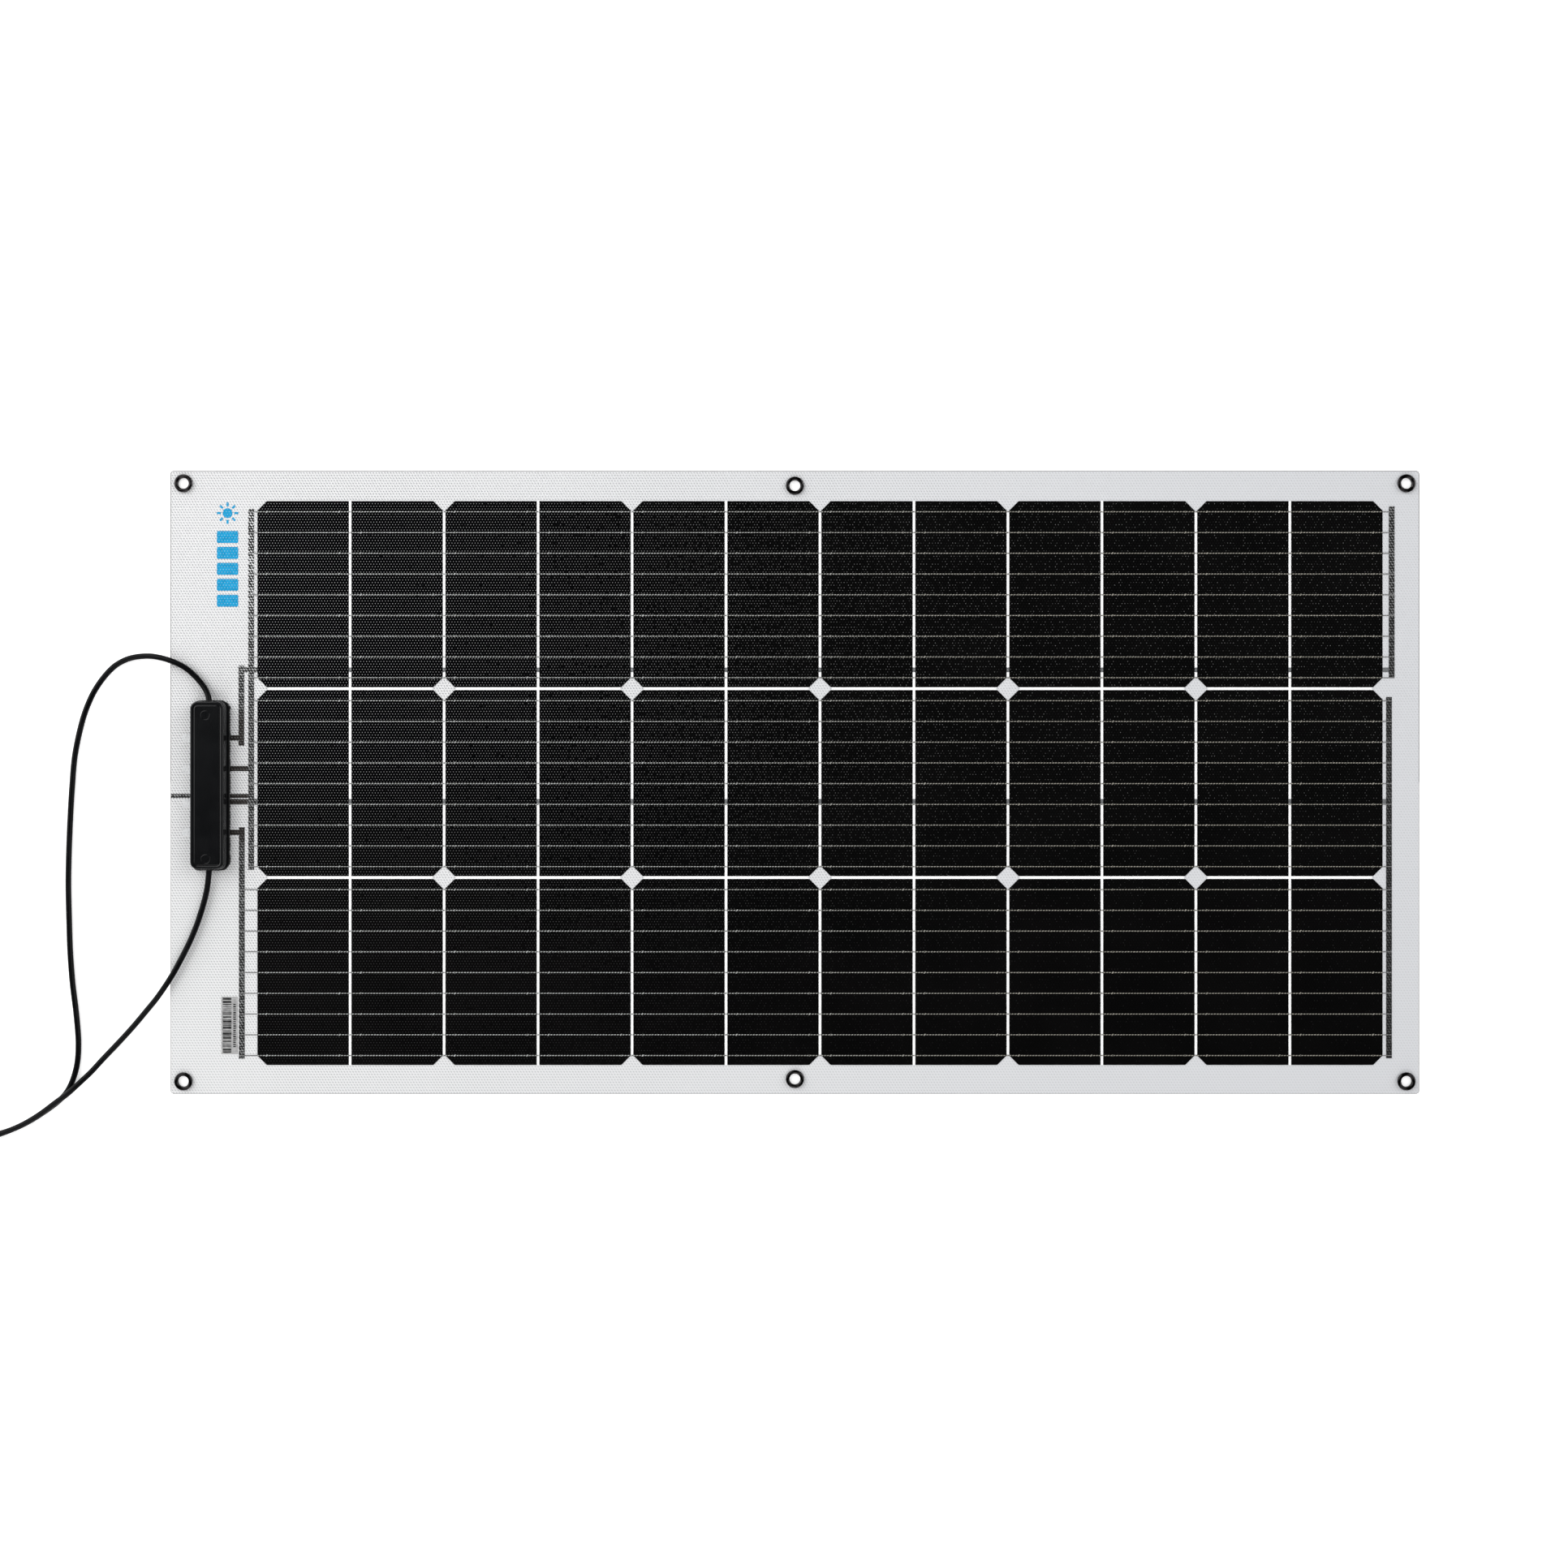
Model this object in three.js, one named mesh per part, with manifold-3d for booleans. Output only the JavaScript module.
// Flexible photovoltaic sheet: a laminate of a rear sheet, half-cut cells and a clear front sheet, with six
// eyelets, a bonded junction box and two plug-in leads. Millimetres, +Z up. The sheet lies flat on Z = 0 with
// its light side up, its long side along X, and the junction box near its -X end.
import * as THREE from "three";
import { mergeVertices } from "three/addons/utils/BufferGeometryUtils.js";
import Module from "manifold-3d";

const wasm = await Module();
wasm.setup();

// ---------- Driving dimensions ----------
const SHEET = { length: 1066, width: 532, cornerRadius: 3 };
const REAR_THICKNESS = 1.1;
const FRONT_THICKNESS = 1.4;
const SHEET_TOP = REAR_THICKNESS + FRONT_THICKNESS;
const CLEARANCE = 0.3; // kept between cut or turned pieces that touch

// Cells: full wafers cut in half across X, six pairs by three rows.
const CELL = { height: 158.75, halfWidth: 77.9, gap: 2.3, chamfer: 8, thickness: 0.3 };
const ARRAY = { x: 21.4, y: -0.6, pairs: 6, rows: 3 };
const PAIR_WIDTH = 2 * CELL.halfWidth + CELL.gap;
const PAIR_PITCH = PAIR_WIDTH + CELL.gap;
const ROW_PITCH = 161.2;
const BUSBARS = { pitch: 17.7, width: 1.2, bridges: [-3, 0, 3] };

// The laminate bends between the pairs, so it is made in strips that meet at these lines.
const STRIP_GAP = 0.3;
const bendX = (k) => ARRAY.x + (k - ARRAY.pairs / 2) * PAIR_PITCH;

// Eyelets: one-piece curled rings with their rear flange sunk flush.
const EYELET = {
  holeRadius: 4.55, barrelRadius: 5.1, flangeRadius: 7.75, curlHeight: 1.35,
  rearRadius: 7.0, rearThickness: 0.6, segments: 20,
};
const EYELETS = [
  ["left_rear", 0, -521.5, 255], ["left_front", 0, -521.5, -255],
  ["middle_rear", 2, 0, 253], ["middle_front", 2, 0, -253],
  ["right_rear", 5, 521.5, 255], ["right_front", 5, 521.5, -255],
];

// Ribbons run in the cell layer. The crossing ribbon runs one ribbon higher.
const RIBBON_THICKNESS = 0.3;
const RIBBON_RISER_X = -489.2;

// Junction box, bonded on the front face.
const BOX = { x: -498, y: -2.6, bond: 0.6, flange: 1.0, floor: 1.8, wall: 1.8, splitZ: 11.6, topZ: 15 };
const BOND = { width: 32, length: 147, radius: 7.5 };
const BOX_FLANGE = { width: 31, length: 145, radius: 7 };
const BOX_WALL = { width: 28.6, length: 142.4, radius: 6.5 };
const LID_TOP = { width: 26.3, length: 139.8, radius: 5.5 };
const LID_PANEL = { width: 21.5, length: 135, radius: 4, height: 0.5 };
const LID_LIP = { depth: 1.6, thickness: 1.2 };
const BOX_WINDOW = { width: 4.5, length: 104, x: -488.9, y: -2.4 };
const TERMINAL = { width: 16, length: 10, thickness: 1, x: -499.6, clampHeight: 2.4 };
const TERMINAL_Y = [38, 11.8, -16.6, -42.7];
const DIODE = {
  bodyWidth: 6, bodyLength: 9, bodyHeight: 3, leadWidth: 1.6, leadThickness: 0.5, landing: 2.5, x: -503,
};
const BOX_BASE_Z = SHEET_TOP + BOX.bond;
const BOX_FLOOR_Z = BOX_BASE_Z + BOX.floor;

// Leads: round cable, its exits at the two ends of the box.
const LEAD = { diameter: 4.8, exitZ: 7.6, sides: 8, step: 12 };
const GLAND = { radius: 3.3, bore: 2.7, outside: 0.9 };
const CONNECTOR = { radius: 8, length: 46, neck: 5.2, tailRear: 33, tailFront: -35 };

// Routes of the uncoiled stretches, along the cable's centre line from the gland to the coil.
const LEAD_REAR_ROUTE = [
  [-498.0, 69.8, 7.6], [-499.2, 74.2, 6.9], [-502.6, 80.6, 5.7], [-509.4, 89.0, 5.0], [-519.5, 97.8, 4.9],
  [-532.3, 103.8, 4.9], [-543.0, 106.7, 4.0], [-553.3, 107.7, 2.8], [-567.1, 105.8, 2.4],
  [-578.4, 100.4, 2.4], [-587.0, 92.4, 2.4], [-596.8, 78.9, 2.4], [-603.4, 65.0, 2.4],
  [-608.0, 51.2, 2.4], [-613.9, 23.5, 2.4], [-616.4, -4.2, 2.4], [-618.0, -31.8, 2.4],
  [-619.1, -59.5, 2.4], [-619.6, -87.2, 2.4], [-619.0, -114.9, 2.4], [-618.1, -142.6, 2.4],
  [-616.1, -170.2, 2.4], [-612.8, -197.9, 2.4], [-611.0, -222.0, 2.4], [-612.0, -239.4, 2.4],
  [-615.6, -253.3, 2.4], [-620.6, -263.6, 2.4], [-627.9, -271.8, 2.4], [-641.8, -282.2, 2.4],
  [-655.7, -290.6, 2.4], [-669.5, -296.7, 2.4], [-684.0, -301.0, 2.4], [-693.0, -303.2, 2.4],
];
const LEAD_FRONT_ROUTE = [
  [-498.0, -75.0, 7.6], [-498.7, -80.4, 6.8], [-500.4, -90.4, 5.2], [-502.8, -100.7, 4.9],
  [-505.8, -111.0, 4.9], [-509.3, -121.4, 4.9], [-513.5, -131.8, 4.9], [-518.4, -142.2, 4.9],
  [-523.7, -152.5, 4.9], [-529.4, -162.8, 4.9], [-536.0, -173.2, 4.7], [-544.0, -184.1, 3.5],
  [-552.7, -194.5, 2.6], [-561.3, -204.8, 2.4], [-570.5, -215.2, 2.4], [-580.2, -225.6, 2.5],
  [-590.2, -236.2, 3.0], [-600.0, -247.2, 4.3], [-607.2, -254.2, 5.6], [-614.1, -260.8, 6.8],
  [-620.9, -266.7, 7.4], [-627.9, -271.8, 7.5], [-641.8, -282.2, 7.5], [-655.7, -290.6, 7.5],
  [-669.5, -296.7, 7.5], [-682.5, -301.6, 7.4], [-691.0, -307.0, 6.4], [-697.6, -312.0, 4.8],
  [-703.0, -316.0, 3.4], [-706.0, -317.9, 2.9],
];
const COIL_REAR = { x: -716, y: -280.1, meanRadius: 24, tracks: 2 };
const COIL_FRONT = { x: -722, y: -353.7, meanRadius: 27.6, tracks: 3 };

// ---------- Materials ----------
function material(color, roughness, metalness, opacity = 1) {
  return new THREE.MeshStandardMaterial({ color, roughness, metalness, opacity, transparent: opacity < 1 });
}
const CLEAR_FILM = material(0xf2f5f7, 0.35, 0, 0.35);
const WHITE_SHEET = material(0xe8eaec, 0.6, 0);
const SILICON = material(0x0b0c10, 0.3, 0.1);
const TINNED = material(0x8b8a86, 0.45, 0.8);
const BLACK_NICKEL = material(0x2b2a2c, 0.2, 0.9);
const BLACK_PLASTIC = material(0x16171a, 0.6, 0);
const BLACK_SEALANT = material(0x0d0d0e, 0.8, 0);
const CABLE_JACKET = material(0x141416, 0.5, 0);

// ---------- Solids ----------
function toManifold(geometry) {
  const bare = geometry.clone();
  bare.deleteAttribute("normal");
  bare.deleteAttribute("uv");
  const merged = mergeVertices(bare, 1e-4);
  return new wasm.Manifold(new wasm.Mesh({
    numProp: 3,
    vertProperties: new Float32Array(merged.attributes.position.array),
    triVerts: new Uint32Array(merged.index.array),
  }));
}

function fromManifold(solid) {
  const mesh = solid.getMesh();
  const geometry = new THREE.BufferGeometry();
  geometry.setAttribute("position", new THREE.BufferAttribute(new Float32Array(mesh.vertProperties), 3));
  geometry.setIndex(new THREE.BufferAttribute(new Uint32Array(mesh.triVerts), 1));
  geometry.computeVertexNormals();
  return geometry;
}

function joined(pieces) {
  return fromManifold(pieces.map(toManifold).reduce((whole, piece) => whole.add(piece)));
}

function cut(geometry, tools) {
  const body = tools.map(toManifold).reduce((rest, tool) => rest.subtract(tool), toManifold(geometry));
  return fromManifold(body);
}

function box(x0, x1, y0, y1, z0, z1) {
  const geometry = new THREE.BoxGeometry(x1 - x0, y1 - y0, z1 - z0);
  return geometry.translate((x0 + x1) / 2, (y0 + y1) / 2, (z0 + z1) / 2);
}

function uprightCylinder(radius, x, y, z0, z1, segments = EYELET.segments) {
  const geometry = new THREE.CylinderGeometry(radius, radius, z1 - z0, segments);
  return geometry.rotateX(Math.PI / 2).translate(x, y, (z0 + z1) / 2);
}

function extruded(points, z0, z1, holes = []) {
  const shape = new THREE.Shape(points.map(([x, y]) => new THREE.Vector2(x, y)));
  for (const hole of holes) {
    shape.holes.push(new THREE.Path(hole.map(([x, y]) => new THREE.Vector2(x, y))));
  }
  return new THREE.ExtrudeGeometry(shape, { depth: z1 - z0, bevelEnabled: false }).translate(0, 0, z0);
}

// Points of a rounded rectangle, counter-clockwise. Corners with radius 0 stay sharp.
function roundedRectangle(x0, x1, y0, y1, radii, steps = 5) {
  const corners = [[x1, y0, -90, -1, 1], [x1, y1, 0, -1, -1], [x0, y1, 90, 1, -1], [x0, y0, 180, 1, 1]];
  const points = [];
  corners.forEach(([x, y, start, inX, inY], corner) => {
    const radius = Array.isArray(radii) ? radii[corner] : radii;
    const count = radius > 0 ? steps : 0;
    for (let i = 0; i <= count; i += 1) {
      const angle = THREE.MathUtils.degToRad(start + (count ? (90 * i) / count : 0));
      points.push(radius > 0
        ? [x + inX * radius + radius * Math.cos(angle), y + inY * radius + radius * Math.sin(angle)]
        : [x, y]);
    }
  });
  return points;
}

// A closed solid through convex outlines with the same number of points, from the lowest to the highest.
function stacked(levels) {
  const count = levels[0].points.length;
  const positions = levels.flatMap(({ points, z }) => points.flatMap(([x, y]) => [x, y, z]));
  const index = [];
  for (let level = 0; level + 1 < levels.length; level += 1) {
    for (let i = 0; i < count; i += 1) {
      const a = level * count + i;
      const b = level * count + ((i + 1) % count);
      index.push(a, b, b + count, a, b + count, a + count);
    }
  }
  const top = (levels.length - 1) * count;
  for (let i = 1; i + 1 < count; i += 1) {
    index.push(0, i + 1, i, top, top + i, top + i + 1);
  }
  const geometry = new THREE.BufferGeometry();
  geometry.setAttribute("position", new THREE.Float32BufferAttribute(positions, 3));
  geometry.setIndex(index);
  geometry.computeVertexNormals();
  return geometry;
}

// A box-shaped plan centred on the junction box, grown by an amount on every side.
function boxPlan({ width, length, radius }, grow = 0) {
  const halfX = width / 2 + grow;
  const halfY = length / 2 + grow;
  return roundedRectangle(BOX.x - halfX, BOX.x + halfX, BOX.y - halfY, BOX.y + halfY,
    Math.max(radius + grow, 0.5));
}

// ---------- Laminate strips ----------
function stripEdges(k) {
  return [
    k === 0 ? -SHEET.length / 2 : bendX(k) + STRIP_GAP / 2,
    k === ARRAY.pairs - 1 ? SHEET.length / 2 : bendX(k + 1) - STRIP_GAP / 2,
  ];
}

function stripPlan(k) {
  const [x0, x1] = stripEdges(k);
  const left = k === 0 ? SHEET.cornerRadius : 0;
  const right = k === ARRAY.pairs - 1 ? SHEET.cornerRadius : 0;
  return roundedRectangle(x0, x1, -SHEET.width / 2, SHEET.width / 2, [right, right, left, left]);
}

const eyeletsIn = (k) => EYELETS.filter(([, strip]) => strip === k);

function rearSheet(k) {
  const tools = eyeletsIn(k).flatMap(([, , x, y]) => [
    uprightCylinder(EYELET.barrelRadius + CLEARANCE, x, y, -1, SHEET_TOP),
    uprightCylinder(EYELET.rearRadius + CLEARANCE, x, y, -1, EYELET.rearThickness + CLEARANCE),
  ]);
  const plate = extruded(stripPlan(k), 0, REAR_THICKNESS);
  return tools.length ? cut(plate, tools) : plate;
}

function frontSheet(k) {
  const tools = eyeletsIn(k).map(([, , x, y]) =>
    uprightCylinder(EYELET.barrelRadius + CLEARANCE, x, y, 0, SHEET_TOP + 1));
  for (let row = 0; row < ARRAY.rows; row += 1) {
    tools.push(extruded(pairPlan(k, row, CLEARANCE), 0, REAR_THICKNESS + CELL.thickness + CLEARANCE));
  }
  for (const ribbon of RIBBONS.filter(({ strip }) => strip === k)) {
    for (const [x0, x1, y0, y1] of ribbon.runs) {
      tools.push(box(x0 - CLEARANCE, x1 + CLEARANCE, y0 - CLEARANCE, y1 + CLEARANCE,
        0, ribbon.z + RIBBON_THICKNESS + CLEARANCE / 2));
    }
  }
  if (k === 0) {
    tools.push(boxWindow(0, SHEET_TOP + 1));
  }
  return cut(extruded(stripPlan(k), REAR_THICKNESS, SHEET_TOP), tools);
}

// ---------- Cells ----------
function pairCentre(k, row) {
  return [ARRAY.x + (k - (ARRAY.pairs - 1) / 2) * PAIR_PITCH, ARRAY.y + (1 - row) * ROW_PITCH];
}

function pairPlan(k, row, grow = 0) {
  const [x, y] = pairCentre(k, row);
  const halfX = PAIR_WIDTH / 2 + grow;
  const halfY = CELL.height / 2 + grow;
  const c = CELL.chamfer;
  return [
    [x + halfX, y - halfY + c], [x + halfX, y + halfY - c], [x + halfX - c, y + halfY],
    [x - halfX + c, y + halfY], [x - halfX, y + halfY - c], [x - halfX, y - halfY + c],
    [x - halfX + c, y - halfY], [x + halfX - c, y - halfY],
  ];
}

// Two half-cells, joined across the cut by interconnect wires.
function cellPair(k, row) {
  const [x, y] = pairCentre(k, row);
  const halfGap = CELL.gap / 2;
  const wires = BUSBARS.bridges.map((i) => y + i * BUSBARS.pitch);
  const cuts = [y - CELL.height / 2 - 1, ...wires, y + CELL.height / 2 + 1];
  const slots = cuts.slice(1).map((end, i) => box(x - halfGap, x + halfGap,
    cuts[i] + (i > 0 ? BUSBARS.width / 2 : 0), end - (i + 2 < cuts.length ? BUSBARS.width / 2 : 0), 0, SHEET_TOP));
  return cut(extruded(pairPlan(k, row), REAR_THICKNESS, REAR_THICKNESS + CELL.thickness), slots);
}

// ---------- Ribbons ----------
const LOW = REAR_THICKNESS;
const HIGH = REAR_THICKNESS + RIBBON_THICKNESS;
const LINK_HALF = 2.2;

// runs are the flat lengths as x0, x1, y0, y1; terminal is the junction box terminal that the ribbon rises to.
const RIBBONS = [
  { name: "ribbon_string_1_2", strip: 0, z: LOW, terminal: 1,
    runs: [[-466.4, -461.6, -74.7, 233.3], [RIBBON_RISER_X, -464, 11.8 - LINK_HALF, 11.8 + LINK_HALF]] },
  { name: "ribbon_return_upper", strip: 0, z: LOW, terminal: 0,
    runs: [[-474.8, -470.0, 31.3, 99.6], [RIBBON_RISER_X, -472, 38 - LINK_HALF, 38 + LINK_HALF]] },
  { name: "ribbon_string_end", strip: 0, z: LOW, terminal: 3,
    runs: [[-474.4, -469.6, -235.8, -38.4], [RIBBON_RISER_X, -472, -42.7 - LINK_HALF, -42.7 + LINK_HALF]] },
  { name: "ribbon_return_lower", strip: 0, z: HIGH, terminal: 2,
    runs: [[RIBBON_RISER_X, -459.6, -16.6 - LINK_HALF, -16.6 + LINK_HALF]] },
  { name: "ribbon_right_upper", strip: 5, z: LOW, terminal: null, runs: [[506.9, 511.7, 89.8, 235.6]] },
  { name: "ribbon_right_lower", strip: 5, z: LOW, terminal: null, runs: [[504.6, 509.4, -235.4, 72.8]] },
];

const TERMINAL_TOP = BOX_FLOOR_Z + TERMINAL.thickness;

function ribbon({ runs, z, terminal }) {
  const pieces = runs.map(([x0, x1, y0, y1]) => box(x0, x1, y0, y1, z, z + RIBBON_THICKNESS));
  if (terminal !== null) {
    const y = TERMINAL_Y[terminal];
    const t = RIBBON_THICKNESS;
    pieces.push(box(RIBBON_RISER_X, RIBBON_RISER_X + t, y - LINK_HALF, y + LINK_HALF, z, TERMINAL_TOP + t));
    pieces.push(box(RIBBON_RISER_X - 5, RIBBON_RISER_X + t, y - LINK_HALF, y + LINK_HALF,
      TERMINAL_TOP, TERMINAL_TOP + t));
  }
  return pieces.length > 1 ? joined(pieces) : pieces[0];
}

// ---------- Eyelets ----------
function eyelet() {
  const { holeRadius, barrelRadius, flangeRadius, curlHeight, rearRadius, rearThickness, segments } = EYELET;
  const middle = (holeRadius + flangeRadius) / 2;
  const reach = (flangeRadius - holeRadius) / 2;
  const curl = [150, 120, 90, 60, 30].map((degrees) => {
    const angle = THREE.MathUtils.degToRad(degrees);
    return [middle + reach * Math.cos(angle), SHEET_TOP + curlHeight * Math.sin(angle)];
  });
  const profile = [
    [holeRadius, 0.25], [holeRadius, SHEET_TOP], ...curl, [flangeRadius, SHEET_TOP + 0.2],
    [flangeRadius - 0.2, SHEET_TOP], [barrelRadius, SHEET_TOP], [barrelRadius, rearThickness],
    [rearRadius, rearThickness], [rearRadius, 0], [holeRadius + 0.25, 0], [holeRadius, 0.25],
  ];
  return turned(profile, segments);
}

// A lathe about Z from a closed profile of radius and height, listed clockwise in the (radius, height) plane.
function turned(profile, segments) {
  const points = profile.map(([radius, height]) => new THREE.Vector2(radius, height)).reverse();
  return new THREE.LatheGeometry(points, segments).rotateX(Math.PI / 2);
}

// ---------- Junction box ----------
function boxWindow(z0, z1) {
  const { x, y, width, length } = BOX_WINDOW;
  return box(x - width / 2, x + width / 2, y - length / 2, y + length / 2, z0, z1);
}

const innerWall = (grow = 0) => boxPlan(BOX_WALL, -BOX.wall + grow);

function glandBore(side) {
  const geometry = new THREE.CylinderGeometry(GLAND.radius + CLEARANCE, GLAND.radius + CLEARANCE, 12, 16);
  return geometry.translate(BOX.x, BOX.y + (side * BOX_WALL.length) / 2, LEAD.exitZ);
}

function boxBond() {
  return cut(extruded(boxPlan(BOND), SHEET_TOP, BOX_BASE_Z), [boxWindow(0, BOX_BASE_Z + 1)]);
}

function boxBase() {
  const shell = joined([
    extruded(boxPlan(BOX_FLANGE), BOX_BASE_Z, BOX_BASE_Z + BOX.flange),
    extruded(boxPlan(BOX_WALL), BOX_BASE_Z + BOX.flange / 2, BOX.splitZ),
  ]);
  return cut(shell, [
    extruded(innerWall(), BOX_FLOOR_Z, BOX.splitZ + 1), boxWindow(0, BOX_FLOOR_Z + 1), glandBore(1), glandBore(-1),
  ]);
}

function boxLid() {
  const shoulder = BOX.topZ - LID_PANEL.height;
  const outer = joined([
    stacked([
      { points: boxPlan(BOX_WALL), z: BOX.splitZ },
      { points: boxPlan(BOX_WALL, -0.25), z: shoulder - 1.1 },
      { points: boxPlan(LID_TOP), z: shoulder },
    ]),
    stacked([
      { points: boxPlan(LID_PANEL), z: shoulder - 0.2 },
      { points: boxPlan(LID_PANEL, -0.4), z: BOX.topZ },
    ]),
    extruded(innerWall(-CLEARANCE), BOX.splitZ - LID_LIP.depth, BOX.splitZ + 0.5),
  ]);
  const hollow = extruded(innerWall(-CLEARANCE - LID_LIP.thickness), 0, BOX.topZ - BOX.wall);
  return cut(outer, [hollow]);
}

// A tinned plate with an upright clamp that holds a ribbon or a lead.
function terminal(y) {
  const { width, length, thickness, x, clampHeight } = TERMINAL;
  const left = x - width / 2;
  return joined([
    box(left, x + width / 2 - 0.4, y - length / 2, y + length / 2, BOX_FLOOR_Z, TERMINAL_TOP),
    box(left, left + thickness, y - length / 2, y + length / 2, BOX_FLOOR_Z, TERMINAL_TOP + clampHeight),
  ]);
}

// A bypass diode that bridges two terminals, with its flat leads on the plates.
function diode(y0, y1) {
  const { bodyWidth, bodyLength, bodyHeight, leadWidth, leadThickness, landing, x } = DIODE;
  const middle = (y0 + y1) / 2;
  return joined([
    box(x - bodyWidth / 2, x + bodyWidth / 2, middle - bodyLength / 2, middle + bodyLength / 2,
      BOX_FLOOR_Z + CLEARANCE, BOX_FLOOR_Z + CLEARANCE + bodyHeight),
    box(x - leadWidth / 2, x + leadWidth / 2, y1 + landing, y0 - landing,
      TERMINAL_TOP, TERMINAL_TOP + leadThickness),
  ]);
}

function gland(side) {
  const { radius, bore, outside } = GLAND;
  const from = BOX_WALL.length / 2 - BOX.wall;
  const to = BOX_WALL.length / 2 + outside;
  const profile = [
    [bore, from], [bore, to], [radius - 0.5, to], [radius, to - 0.6], [radius, from], [bore, from],
  ];
  return turned(profile, 16).rotateX((-side * Math.PI) / 2).translate(BOX.x, BOX.y, LEAD.exitZ);
}

// ---------- Leads ----------
function tube(route) {
  const curve = new THREE.CatmullRomCurve3(route.map(([x, y, z]) => new THREE.Vector3(x, y, z)));
  const section = Array.from({ length: LEAD.sides }, (_, i) => {
    const angle = (2 * Math.PI * (i + 0.5)) / LEAD.sides;
    return new THREE.Vector2(Math.cos(angle), Math.sin(angle)).multiplyScalar(LEAD.diameter / 2);
  });
  return new THREE.ExtrudeGeometry(new THREE.Shape(section), {
    steps: Math.round(curve.getLength() / LEAD.step), extrudePath: curve, bevelEnabled: false,
  });
}

function coil({ x, y, meanRadius, tracks }) {
  const d = LEAD.diameter;
  const half = (tracks * d) / 2 + 0.2;
  const height = 1.87 * d;
  const inner = meanRadius - half;
  const outer = meanRadius + half;
  const bevel = d / 2;
  const profile = [
    [inner, 0], [inner, height - bevel], [inner + bevel, height], [outer - bevel, height],
    [outer, height - bevel], [outer, 0], [inner, 0],
  ];
  return turned(profile, 28).translate(x, y, 0);
}

// A plug-in connector that lies along Y, a tail's length beyond its coil: gland nut, body and nose.
function connector(ring, tail, nose) {
  const { radius, length, neck } = CONNECTOR;
  const bore = 1.5;
  const profile = [
    [bore, length - 6], [bore, length], [nose, length], [nose, length - 12], [radius - 1, length - 13],
    [radius - 1, 16], [radius, 15], [radius, 4], [neck, 0], [0, 0], [0, length - 6], [bore, length - 6],
  ];
  const quarterTurn = -Math.sign(tail) * (Math.PI / 2);
  return turned(profile, 16).rotateX(quarterTurn).translate(ring.x - ring.meanRadius, ring.y + tail, radius);
}

// ---------- Assembly ----------
const assembly = new THREE.Group();

function add(name, geometry, surface, position = [0, 0, 0]) {
  const mesh = new THREE.Mesh(geometry, surface);
  mesh.name = name;
  mesh.position.set(...position);
  assembly.add(mesh);
}

for (let k = 0; k < ARRAY.pairs; k += 1) {
  add(`rear_sheet_${k + 1}`, rearSheet(k), WHITE_SHEET);
  add(`front_sheet_${k + 1}`, frontSheet(k), CLEAR_FILM);
  for (let row = 0; row < ARRAY.rows; row += 1) {
    add(`cell_pair_${k + 1}_row_${row + 1}`, cellPair(k, row), SILICON);
  }
}
for (const [place, , x, y] of EYELETS) {
  add(`eyelet_${place}`, eyelet(), BLACK_NICKEL, [x, y, 0]);
}
for (const run of RIBBONS) {
  add(run.name, ribbon(run), TINNED);
}

add("box_bond", boxBond(), BLACK_SEALANT);
add("box_base", boxBase(), BLACK_PLASTIC);
add("box_lid", boxLid(), BLACK_PLASTIC);
TERMINAL_Y.forEach((y, i) => add(`terminal_${i + 1}`, terminal(y), TINNED));
for (let i = 0; i + 1 < TERMINAL_Y.length; i += 1) {
  add(`bypass_diode_${i + 1}`, diode(TERMINAL_Y[i], TERMINAL_Y[i + 1]), BLACK_PLASTIC);
}
add("lead_gland_rear", gland(1), BLACK_PLASTIC);
add("lead_gland_front", gland(-1), BLACK_PLASTIC);

add("lead_rear", tube(LEAD_REAR_ROUTE), CABLE_JACKET);
add("lead_rear_coil", coil(COIL_REAR), CABLE_JACKET);
add("connector_rear", connector(COIL_REAR, CONNECTOR.tailRear, 4.2), BLACK_PLASTIC);
add("lead_front", tube(LEAD_FRONT_ROUTE), CABLE_JACKET);
add("lead_front_coil", coil(COIL_FRONT), CABLE_JACKET);
add("connector_front", connector(COIL_FRONT, CONNECTOR.tailFront, 6.4), BLACK_PLASTIC);

export default assembly;
